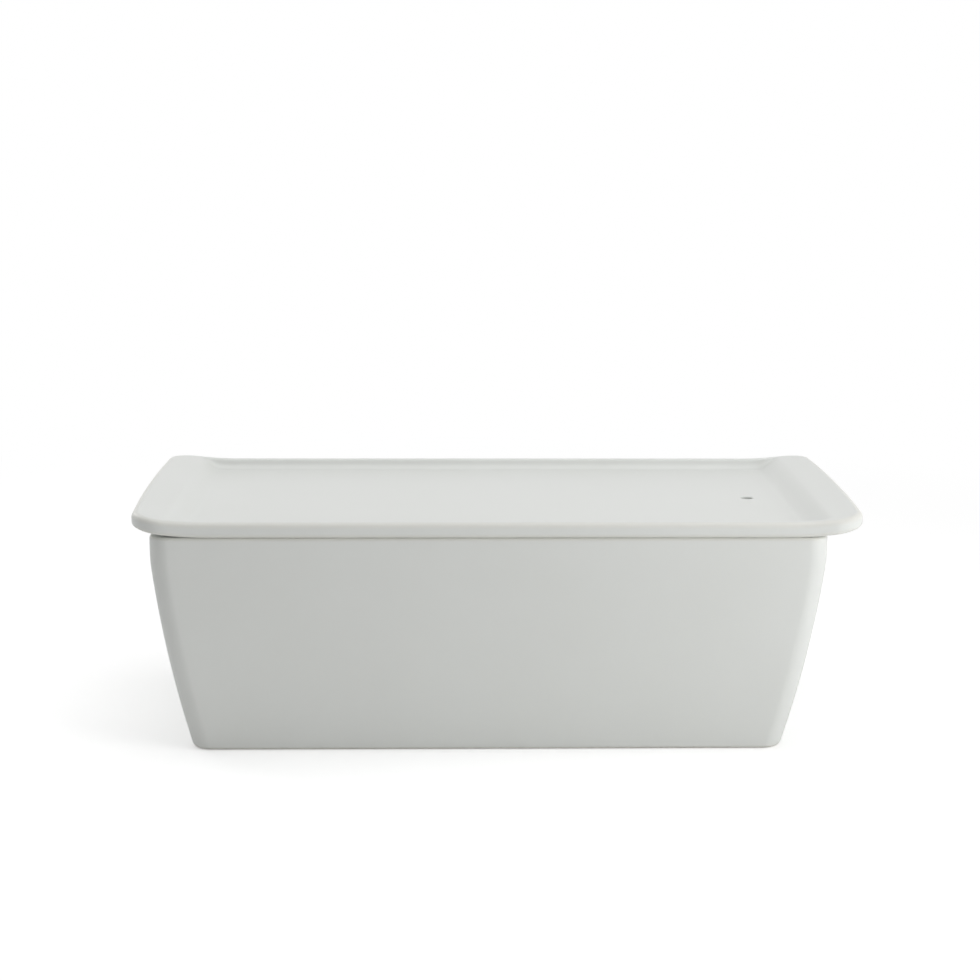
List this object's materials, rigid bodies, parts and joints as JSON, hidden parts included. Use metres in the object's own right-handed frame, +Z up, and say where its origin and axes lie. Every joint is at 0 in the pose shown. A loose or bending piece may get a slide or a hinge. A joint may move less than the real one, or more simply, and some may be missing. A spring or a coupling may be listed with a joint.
{
  "type": "lidded porcelain food container",
  "caption": "Loaf-shaped white porcelain food container with tapered bellied walls and a loose tray-shaped lid with upswept lugs and a steam vent.",
  "frame": {"origin": "on the table, under the middle of the lid, which is the longest and widest piece", "axes": "+X along the dish towards the end with the vent, -Y towards the front, +Z up"},
  "size_m": [0.24, 0.115, 0.0822],
  "materials": {
    "container_glaze": "satin",
    "lid_glaze": "satin"
  },
  "bodies": {
    "root": {"container": "container_glaze", "lid": "lid_glaze"}
  },
  "joints": []
}
